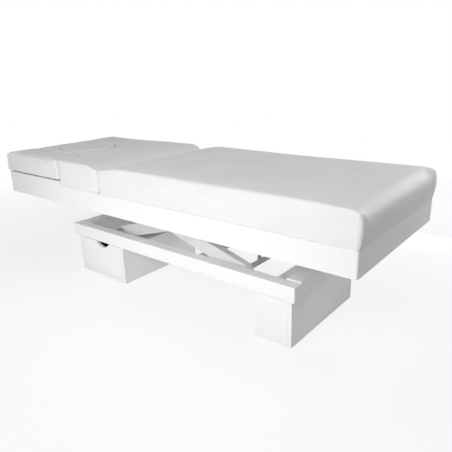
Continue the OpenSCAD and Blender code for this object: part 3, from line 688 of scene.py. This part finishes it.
class SPA_OT_finishes(bpy.types.Operator):
    """Gives the boards, steel, plastic and drive of the bed their finishes"""

    bl_idname = "spa_bed.finishes"
    bl_label = "Board and steel finishes"

    def execute(self, context):
        colours = context.scene.bed_colours
        made = {
            "white_vinyl": vinyl_finish(colours),
            "white_lacquer": lacquer_finish(colours),
            "deck_plywood": plywood_finish(colours),
            "drawer_liner": liner_finish(colours),
            "white_steel": paint_finish(colours),
            "zinc_steel": zinc_finish(colours),
            "dark_steel": dark_finish(colours),
            "actuator_grey": plastic_finish(
                "drive_housing", colours.motor, rough=0.45, scale=900.0, depth=0.0001
            ),
            "roller_nylon": plastic_finish(
                "nylon_roller", colours.nylon, rough=0.4, scale=500.0, depth=0.00008
            ),
            "glide_plastic": plastic_finish(
                "plastic_glide", colours.glide, rough=0.5, scale=800.0, depth=0.0001
            ),
        }
        for name, node in frame["nodes"].items():
            slot = SLOT_OF[name]
            node.data.materials.clear()
            node.data.materials.append(made[slot])
        return {"FINISHED"}


def vinyl():
    return bpy.data.materials["white_vinyl_cover"]


# Height, in metres, of the strip at a cushion's foot that is stapled down, and of the armrests' lower strip
STAPLED, REST_STAPLED = 0.012, 0.010
# How far the body cushion's starting block stands in from its box at the joint, the sides and the foot
JOINT_ROOM, SIDE_ROOM, FOOT_ROOM = 0.002, 0.0045, 0.0095
# The foot corners' share of the cushion's half width
CORNER_SHARE = 0.2
# How far in the shaped joint and foot ends reach, which the filling leaves alone, and their fade
JOINT_REACH, FOOT_REACH, REACH_FADE = 0.09, 0.12, 0.06
# The foot face is squared up from this far in, from this far below the top, and where the cover lies no
# farther inside the outline than this, each with its fade
FACE_REACH, FACE_REACH_FADE = 0.06, 0.03
FACE_DROP, FACE_DROP_FADE = 0.045, 0.02
FACE_GAP, FACE_GAP_FADE = 0.02, 0.008
# The lower edge is squared up with this fade at the foot, up to this height with this fade below it, and
# where the cover lies no farther inside the outline than this
EDGE_START, EDGE_END, EDGE_FADE, EDGE_GAP = 0.001, 0.010, 0.004, 0.009
# How far in from the end and from the side the two seams at a foot corner stand, and how far in from its
# side and its end the cover still carries them
SIDE_SEAM_IN, END_SEAM_IN, ON_SIDE, ON_END = 0.012, 0.006, 0.008, 0.006
# The seams stop this far below the top and above the foot of the cushion
SEAM_TOP, SEAM_FOOT = 0.012, 0.006


class SPA_OT_body_cushion(bpy.types.Operator):
    """Upholsters the body cushion: a crowned pad with a foot roll and two seams at each foot corner"""

    bl_idname = "spa_bed.body_cushion"
    bl_label = "Body cushion"

    def execute(self, context):
        sizes = context.scene.bed_cushions
        low, high = Vector(BODY_LO), Vector(BODY_HI)
        start_low = low + Vector((JOINT_ROOM, SIDE_ROOM, 0.0))
        start_high = high - Vector((FOOT_ROOM, SIDE_ROOM, sizes.crown))
        piece = block("body_pad", start_low, start_high)
        half = start_high.y
        ease(piece, standing_edge(start_high.x, half), sizes.foot_corner, segments=8)
        ease(piece, standing_edge(start_low.x, half), sizes.joint_corner, segments=6)
        ease(piece, lambda co: near(co.z, start_high.z), sizes.shoulder, segments=6)
        ease(piece, lambda co: near(co.z, start_low.z), sizes.hem, segments=3)
        bpy.ops.object.mode_set(mode="OBJECT")
        recloth(piece, sizes.voxel)

        def foot_fall(at):
            beside = smooth_step((np.abs(at[:, 1]) - (1.0 - CORNER_SHARE) * half) / (CORNER_SHARE * half))
            rolled = roll_off(start_high.x - at[:, 0], sizes.foot_roll, sizes.foot_drop)
            return rolled * (1.0 - sizes.corner_lift * beside)

        def joint_fall(at):
            return slope_off(at[:, 0] - start_low.x, sizes.body_fall, sizes.fall)

        lower(piece, foot_fall, low.z, high.z)
        lower(piece, joint_fall, low.z, high.z)

        def held(at):
            floor_held = at[:, 2] < low.z + STAPLED
            joint_held = smooth_step((low.x + JOINT_REACH - at[:, 0]) / REACH_FADE)
            foot_held = smooth_step((at[:, 0] - high.x + FOOT_REACH) / REACH_FADE)
            return np.maximum(floor_held.astype(float), np.maximum(joint_held, foot_held))

        swell(piece, held, sizes)
        smooth(piece, held, times=10)
        rest = 1.0 - BELLY_SHARE
        filled_high = Vector((*start_high.lerp(high, rest)[:2], high.z))
        tame(piece, start_low, start_high, start_low.lerp(low, rest), filled_high)

        def foot_face(at, gap):
            foot = smooth_step((at[:, 0] - start_high.x + FACE_REACH) / FACE_REACH_FADE)
            below = smooth_step((high.z - FACE_DROP - at[:, 2]) / FACE_DROP_FADE)
            return foot * below * smooth_step((FACE_GAP - gap) / FACE_GAP_FADE)

        square_up(piece, start_low, start_high, sizes.foot_corner, foot_face)
        belly(piece, start_low, start_high, low, high, ((0, 1), (1, 1), (1, -1)))
        divide(piece)

        def bottom_edge(at, gap):
            height = at[:, 2] - low.z
            along = smooth_step(height / EDGE_START) * smooth_step((EDGE_END - height) / EDGE_FADE)
            return along * (gap < EDGE_GAP)

        square_up(piece, start_low, start_high, sizes.foot_corner, bottom_edge)

        def down_corner(at):
            """Distance from the two seams at a foot corner: one stands on the side and one on the end."""
            side, end = np.abs(at[:, 1]), at[:, 0]
            on_side = np.where(side > half - ON_SIDE, np.abs(end - high.x + SIDE_SEAM_IN), 1.0)
            on_end = np.where(end > start_high.x - ON_END, np.abs(side - high.y + END_SEAM_IN), 1.0)
            upright = (at[:, 2] < high.z - SEAM_TOP) & (at[:, 2] > low.z + SEAM_FOOT)
            return np.where(upright, np.minimum(on_side, on_end), 1.0)

        sew(piece, down_corner, width=0.0022, depth=0.0011)
        dress(piece, vinyl(), "platform", ["body_cushion"])
        return {"FINISHED"}


# Room between the back cushion and the armrests, the board and the face plug
REST_GAP, BOARD_GAP, PLUG_GAP = 0.0005, 0.0002, 0.0015
# How far the back cushion's starting block stands in from its box at the head and the sides
HEAD_ROOM, BACK_SIDE_ROOM = 0.003, 0.004
# Radius of its outer corners beside the armrests
WIDE_CORNER = 0.016
# How far the cutter for the board reaches past the cushion, and its half width
CUTTER_PAST, CUTTER_HALF = 0.1, 1.0
# Depth of the face hole's cutter, and how far its middle lies below the cushion's top
HOLE_DEPTH, HOLE_DROP = 0.2, 0.108
# The cutter's top is lowered this much, and its flare starts there: each step rises and then widens
FLARE_DROP = 0.009
FLARE_STEPS = ((0.004, 1.004), (0.003, 1.012), (0.003, 1.03), (0.01, 1.06))
# How far in the shaped joint end reaches, which the filling leaves alone, and its fade
BACK_JOINT_REACH, BACK_REACH_FADE = 0.085, 0.05
# Strips that the filling leaves alone: around the hole, along the armrests' foot ends and in the inner corners
HOLE_STRIP, REST_STRIP, NECK_STRIP = 0.006, 0.004, 0.006


class SPA_OT_back_cushion(bpy.types.Operator):
    """Upholsters the back cushion: wide at the joint, a neck between the armrests, and a round face hole"""

    bl_idname = "spa_bed.back_cushion"
    bl_label = "Back cushion"

    def execute(self, context):
        sizes = context.scene.bed_cushions
        low, high = Vector(BACK_LO), Vector(BACK_HI)
        wide_x = REST_HI.x + REST_GAP
        neck = -REST_HI.y - REST_GAP
        head_x = low.x + HEAD_ROOM
        half = high.y - BACK_SIDE_ROOM
        top = high.z - sizes.crown
        piece = block("back_pad", (wide_x, low.y + BACK_SIDE_ROOM, low.z), (high.x, half, top))
        bpy.ops.object.mode_set(mode="EDIT")
        for side in (neck, -neck):
            bpy.ops.mesh.select_all(action="SELECT")
            bpy.ops.mesh.bisect(plane_co=(0.0, side, 0.0), plane_no=(0.0, 1.0, 0.0))
        pick(piece, "FACE", lambda co: near(co.x, wide_x) and abs(co.y) < neck + SAME)
        bpy.ops.mesh.extrude_region_move(TRANSFORM_OT_translate={"value": (head_x - wide_x, 0.0, 0.0)})
        ease(piece, standing_edge(high.x, half), sizes.joint_corner, segments=6)
        ease(piece, standing_edge(wide_x, half), WIDE_CORNER, segments=5)
        ease(piece, standing_edge(wide_x, neck), sizes.neck_corner, segments=6)
        ease(piece, standing_edge(head_x, neck), sizes.corner, segments=5)
        ease(piece, lambda co: near(co.z, top), sizes.shoulder, segments=5)
        bpy.ops.object.mode_set(mode="OBJECT")
        under_low = (low.x - CUTTER_PAST, -CUTTER_HALF, low.z - CUTTER_PAST)
        carve(piece, block("board_space", under_low, (BOARD_HI.x, CUTTER_HALF, BOARD_HI.z + BOARD_GAP)))
        clear_selection()
        middle = (PLUG_LO + PLUG_HI) / 2
        radius = (PLUG_HI.x - PLUG_LO.x) / 2
        bpy.ops.mesh.primitive_cylinder_add(
            vertices=128, radius=radius + PLUG_GAP, depth=HOLE_DEPTH,
            location=(middle.x, 0.0, high.z - HOLE_DROP),
        )
        cutter = bpy.context.object
        settle(cutter)
        rim = max(v.co.z for v in cutter.data.vertices)
        pick(cutter, "FACE", lambda co: near(co.z, rim))
        bpy.ops.transform.translate(value=(0.0, 0.0, -FLARE_DROP))
        for rise, grow in FLARE_STEPS:
            bpy.ops.mesh.extrude_region_move(TRANSFORM_OT_translate={"value": (0.0, 0.0, rise)})
            bpy.ops.transform.resize(value=(grow, grow, 1.0), center_override=(middle.x, 0.0, 0.0))
        bpy.ops.object.mode_set(mode="OBJECT")
        carve(piece, cutter)
        recloth(piece, sizes.small_voxel)

        def joint_fall(at):
            return slope_off(high.x - at[:, 0], sizes.back_fall, sizes.fall)

        def head_fall(at):
            return roll_off(at[:, 0] - low.x, sizes.head_roll, sizes.neck_drop)

        lower(piece, joint_fall, low.z, high.z)
        lower(piece, head_fall, BOARD_HI.z, high.z)

        def held(at):
            floor_held = at[:, 2] < np.where(at[:, 0] > BOARD_HI.x, low.z, BOARD_HI.z) + STAPLED
            joint_held = smooth_step((at[:, 0] - high.x + BACK_JOINT_REACH) / BACK_REACH_FADE)
            hole_held = np.hypot(at[:, 0] - middle.x, at[:, 1]) < radius + HOLE_STRIP
            side_held = (at[:, 0] < wide_x + REST_STRIP) & (np.abs(at[:, 1]) > neck - NECK_STRIP)
            return np.maximum(joint_held, (floor_held | hole_held | side_held).astype(float))

        swell(piece, held, sizes)
        smooth(piece, held, times=4)
        tame(piece, (head_x, low.y + BACK_SIDE_ROOM, low.z), (high.x, half, top), low, high)
        divide(piece)
        dress(piece, vinyl(), None, ["back_cushion"])
        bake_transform(piece)
        return {"FINISHED"}


# How far the starting shapes of the armrests and the face plug stand in from their boxes at the sides
SMALL_ROOM = 0.001
# Strip of an armrest's round corner that the filling leaves alone
ROUND_STRIP = 0.006


class SPA_OT_armrests(bpy.types.Operator):
    """Upholsters the near armrest, with its large round corner, and mirrors it to the far side"""

    bl_idname = "spa_bed.armrests"
    bl_label = "Armrests"

    def execute(self, context):
        sizes = context.scene.bed_cushions
        low, high = Vector(REST_LO), Vector(REST_HI)
        start_low = low + Vector((SMALL_ROOM, SMALL_ROOM, 0.0))
        start_high = high - Vector((SMALL_ROOM, SMALL_ROOM, sizes.rest_crown))
        piece = block("armrest_near_pad", start_low, start_high)
        for corner_x, corner_y, radius in (
            (start_high.x, start_high.y, sizes.rest_corner),
            (start_high.x, start_low.y, sizes.corner),
            (start_low.x, start_low.y, sizes.corner),
            (start_low.x, start_high.y, sizes.corner),
        ):
            ease(piece, lambda co: near(co.x, corner_x) and near(co.y, corner_y), radius, segments=8)
        ease(piece, lambda co: near(co.z, start_high.z), sizes.rim, segments=5)
        ease(piece, lambda co: near(co.z, start_low.z), sizes.hem, segments=3)
        bpy.ops.object.mode_set(mode="OBJECT")
        recloth(piece, sizes.small_voxel)

        def head_fall(at):
            return roll_off(at[:, 0] - low.x, sizes.head_roll, sizes.rest_drop)

        lower(piece, head_fall, low.z, high.z)
        pivot = start_high.to_2d() - Vector((sizes.rest_corner, sizes.rest_corner))

        def held(at):
            out = at[:, :2] - pivot
            at_rim = np.hypot(out[:, 0], out[:, 1]) > sizes.rest_corner - ROUND_STRIP
            at_corner = (out.min(axis=1) > 0.0) & at_rim
            return ((at[:, 2] < low.z + REST_STAPLED) | at_corner).astype(float)

        swell(piece, held, sizes)
        smooth(piece, held, times=3)
        tame(piece, start_low, start_high, low, high)
        divide(piece)
        only(piece)
        bpy.ops.object.duplicate()
        other = context.object
        other.name = other.data.name = "armrest_far_pad"
        set_points(other, points_of(other) * (1.0, -1.0, 1.0))
        bpy.ops.object.mode_set(mode="EDIT")
        bpy.ops.mesh.select_all(action="SELECT")
        bpy.ops.mesh.flip_normals()
        bpy.ops.object.mode_set(mode="OBJECT")
        dress(piece, vinyl(), "armrest_near", ["armrest_near"])
        dress(other, vinyl(), "armrest_far", ["armrest_far"])
        return {"FINISHED"}


# The face plug's cover ends this far above the board; its lower edge and the boss under it have these radii
PLUG_SEAT, PLUG_HEM, PLUG_BOSS = 0.0003, 0.004, 0.088


class SPA_OT_face_plug(bpy.types.Operator):
    """Upholsters the round face plug, which stands on a boss in the board"""

    bl_idname = "spa_bed.face_plug"
    bl_label = "Face plug"

    def execute(self, context):
        sizes = context.scene.bed_cushions
        low, high = Vector(PLUG_LO), Vector(PLUG_HI)
        middle = (low + high) / 2
        radius = (high.x - low.x) / 2 - SMALL_ROOM
        seat = BOARD_HI.z + PLUG_SEAT
        clear_selection()
        bpy.ops.mesh.primitive_cylinder_add(
            vertices=96, radius=radius, depth=high.z - sizes.crown - seat,
            location=(middle.x, 0.0, (high.z - sizes.crown + seat) / 2),
        )
        piece = bpy.context.object
        piece.name = piece.data.name = "face_plug_pad"
        settle(piece)
        top = max(v.co.z for v in piece.data.vertices)
        ease(piece, lambda co: near(co.z, top), sizes.rim, segments=5)
        ease(piece, lambda co: near(co.z, seat), PLUG_HEM, segments=2)
        pick(piece, "FACE", lambda co: near(co.z, seat))
        bpy.ops.mesh.inset(thickness=radius - PLUG_HEM - PLUG_BOSS, use_boundary=True)
        bpy.ops.mesh.extrude_region_move(TRANSFORM_OT_translate={"value": (0.0, 0.0, low.z - seat)})
        bpy.ops.object.mode_set(mode="OBJECT")
        recloth(piece, sizes.small_voxel)

        def held(at):
            return (at[:, 2] < seat + STAPLED).astype(float)

        swell(piece, held, sizes)
        smooth(piece, held, times=3)
        start_low = (low.x + SMALL_ROOM, low.y + SMALL_ROOM, low.z)
        tame(piece, start_low, (high.x - SMALL_ROOM, high.y - SMALL_ROOM, top), low, high)
        divide(piece)
        dress(piece, vinyl(), "face_plug", ["face_plug"])
        return {"FINISHED"}


# The camera's sensor in millimetres, and the nearest and farthest place that it sees
SENSOR, NEAREST, FARTHEST = 36.0, 0.05, 60.0
# Radius of the studio floor
FLOOR_RADIUS = 14.0
# Spread of the narrow light, in radians; the soft boxes shine all round
NARROW = 1.5
# Each lamp's name, the setting that holds its power, its width and height, its place, what it points at and
# its spread
LAMPS = (
    ("key_softbox", "key", 1.8, 1.2, (0.9, -2.4, 1.7), (0.3, -0.2, 0.4), math.pi),
    ("top_softbox", "top", 1.6, 1.0, (-0.7, 0.1, 2.2), (-0.5, 0.0, 0.55), math.pi),
    ("foot_softbox", "foot", 1.0, 1.4, (1.7, 0.0, 3.0), (0.9, 0.0, 0.5), math.pi),
    ("rim_softbox", "rim", 2.0, 0.8, (1.3, 2.2, 0.9), (0.3, 0.0, 0.5), math.pi),
    ("gleam_softbox", "gleam", 1.4, 0.8, (1.45, 2.3, 1.48), (1.0, 0.0, 0.55), math.pi),
    ("far_softbox", "behind", 1.8, 0.4, (0.0, 1.3, 0.2), (0.0, 0.0, 0.35), math.pi),
    ("head_softbox", "head", 1.4, 1.0, (-0.9, -2.4, 0.8), (-0.6, -0.3, 0.4), math.pi),
    ("floor_light", "under", 1.6, 0.6, (0.15, -1.1, 0.5), (0.1, 0.0, 0.0), NARROW),
)


def looked_at(tree):
    """One for what is seen, also in a gloss or through glass, and nothing for what only gives light."""
    rays = add(tree, "LightPath").outputs
    seen = combine(tree, rays["Is Camera Ray"], rays["Is Glossy Ray"], "MAXIMUM")
    return combine(tree, seen, rays["Is Transmission Ray"], "MAXIMUM")


class SPA_OT_studio(bpy.types.Operator):
    """Sets up the camera, the pale floor, the white surroundings and the soft studio light"""

    bl_idname = "spa_bed.studio"
    bl_label = "Studio"

    def execute(self, context):
        studio = context.scene.bed_studio
        scene = context.scene
        scene.view_settings.view_transform = "Standard"
        camera = bpy.data.objects.new("studio_camera", bpy.data.cameras.new("studio_camera"))
        scene.collection.objects.link(camera)
        camera.data.sensor_width = SENSOR
        camera.data.lens = studio.lens
        camera.data.clip_start, camera.data.clip_end = NEAREST, FARTHEST
        camera.location = studio.camera_at
        camera.rotation_euler = studio.camera_turn
        scene.camera = camera
        clear_selection()
        bpy.ops.mesh.primitive_circle_add(
            vertices=96, radius=FLOOR_RADIUS, fill_type="NGON", location=(0.0, 0.0, 0.0)
        )
        floor = context.object
        floor.name = floor.data.name = "studio_floor"
        made, tree = tree_of("studio_floor")
        point = place(tree)
        speckle = noise(tree, point, scale=3.0, detail=2.0, rough=0.5)
        tone = blend_colours(tree, speckle, studio.floor, darker(studio.floor, 0.985))
        body = add(tree, "BsdfDiffuse", {"Color": tone})
        white = add(tree, "Emission", {"Color": (1.0, 1.0, 1.0), "Strength": 1.0})
        away = add(tree, "VectorMath", {0: point}, operation="LENGTH").outputs["Value"]
        plain = spread(tree, away, 0.8, 1.0, start=1.2, end=3.0)
        share = combine(tree, looked_at(tree), plain, "MULTIPLY")
        mixed = add(tree, "MixShader", {0: share, 1: body.outputs["BSDF"], 2: white.outputs["Emission"]})
        add(tree, "OutputMaterial", {"Surface": mixed.outputs["Shader"]})
        floor.data.materials.append(made)
        world = bpy.data.worlds.new("studio_sky")
        scene.world = world
        world.use_nodes = True
        sky = world.node_tree
        sky.nodes.clear()
        white = add(sky, "Background", {"Color": (1.0, 1.0, 1.0), "Strength": looked_at(sky)})
        add(sky, "OutputWorld", {"Surface": white.outputs["Background"]})
        for name, setting, wide, high, at, aim, cone in LAMPS:
            lamp = bpy.data.lights.new(name, "AREA")
            lamp.shape, lamp.size, lamp.size_y = "RECTANGLE", wide, high
            lamp.energy, lamp.spread = getattr(studio, setting), cone
            box = bpy.data.objects.new(name, lamp)
            scene.collection.objects.link(box)
            box.location = at
            box.rotation_euler = (Vector(aim) - Vector(at)).to_track_quat("-Z", "Y").to_euler()
        return {"FINISHED"}


class SPA_PT_panel(bpy.types.Panel):
    """Lists the pieces of the treatment bed and their settings"""

    bl_idname = "SPA_PT_panel"
    bl_label = "Treatment bed"
    bl_space_type = "VIEW_3D"
    bl_region_type = "UI"
    bl_category = "Treatment bed"

    def draw(self, context):
        layout = self.layout
        for maker in MAKERS:
            layout.operator(maker.bl_idname)
        for group in (context.scene.bed_cushions, context.scene.bed_colours, context.scene.bed_studio):
            box = layout.box()
            for name in group.bl_rna.properties.keys():
                if name not in ("rna_type", "name"):
                    box.prop(group, name)


MAKERS = (
    SPA_OT_studio,
    SPA_OT_finishes,
    SPA_OT_body_cushion,
    SPA_OT_back_cushion,
    SPA_OT_armrests,
    SPA_OT_face_plug,
)
GROUPS = {"bed_cushions": CushionSizes, "bed_colours": FinishColours, "bed_studio": StudioSettings}


def register():
    for group in GROUPS.values():
        bpy.utils.register_class(group)
    for name, group in GROUPS.items():
        setattr(bpy.types.Scene, name, bpy.props.PointerProperty(type=group))
    for maker in (*MAKERS, SPA_PT_panel):
        bpy.utils.register_class(maker)


def unregister():
    for maker in (SPA_PT_panel, *reversed(MAKERS)):
        bpy.utils.unregister_class(maker)
    for name in GROUPS:
        delattr(bpy.types.Scene, name)
    for group in GROUPS.values():
        bpy.utils.unregister_class(group)


def main():
    register()
    bpy.ops.spa_bed.studio()
    bpy.ops.spa_bed.finishes()
    bpy.ops.spa_bed.body_cushion()
    bpy.ops.spa_bed.back_cushion()
    bpy.ops.spa_bed.armrests()
    bpy.ops.spa_bed.face_plug()


if __name__ == "__main__":
    main()
